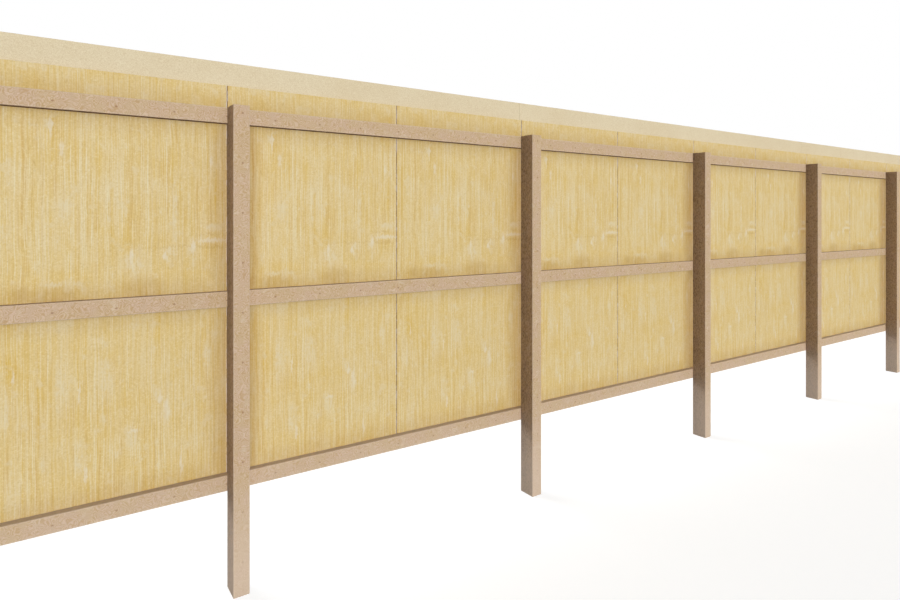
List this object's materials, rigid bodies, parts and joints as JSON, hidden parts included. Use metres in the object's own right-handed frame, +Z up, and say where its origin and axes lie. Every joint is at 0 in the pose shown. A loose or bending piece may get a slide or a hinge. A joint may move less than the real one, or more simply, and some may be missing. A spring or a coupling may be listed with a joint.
{
  "type": "timber construction hoarding",
  "caption": "Timber site hoarding: posts carry lines of rails, with upright plywood sheets and a pale fascia board along the top of the public side.",
  "frame": {"origin": "middle of the foot of the middle post, on the ground", "axes": "+X along the run, +Y from the site side to the public side, +Z up"},
  "size_m": [14.558, 0.241, 3.3],
  "materials": {
    "post_timber": "planed softwood, unpainted, fine curly fibre",
    "rail_timber": "planed softwood, unpainted, fine curly fibre",
    "plywood": "bare softwood plywood, upright golden grain, matt",
    "fascia_board": "pale cream speckled board, matt",
    "nail_steel": "galvanised wire nails, dull zinc grey, flat heads"
  },
  "bodies": {
    "root": {"post_1": "post_timber", "post_2": "post_timber", "post_3": "post_timber", "post_4": "post_timber", "post_5": "post_timber", "post_6": "post_timber", "post_7": "post_timber", "rail_bottom_1": "rail_timber", "rail_bottom_2": "rail_timber", "rail_bottom_3": "rail_timber", "rail_middle_1": "rail_timber", "rail_middle_2": "rail_timber", "rail_middle_3": "rail_timber", "rail_middle_4": "rail_timber", "rail_top_1": "rail_timber", "rail_top_2": "rail_timber", "rail_top_3": "rail_timber", "sheet_1": "plywood", "sheet_2": "plywood", "sheet_3": "plywood", "sheet_4": "plywood", "sheet_5": "plywood", "sheet_6": "plywood", "sheet_7": "plywood", "sheet_8": "plywood", "sheet_9": "plywood", "sheet_10": "plywood", "sheet_11": "plywood", "sheet_12": "plywood", "fascia_1": "fascia_board", "fascia_2": "fascia_board", "fascia_3": "fascia_board"}
  },
  "joints": []
}
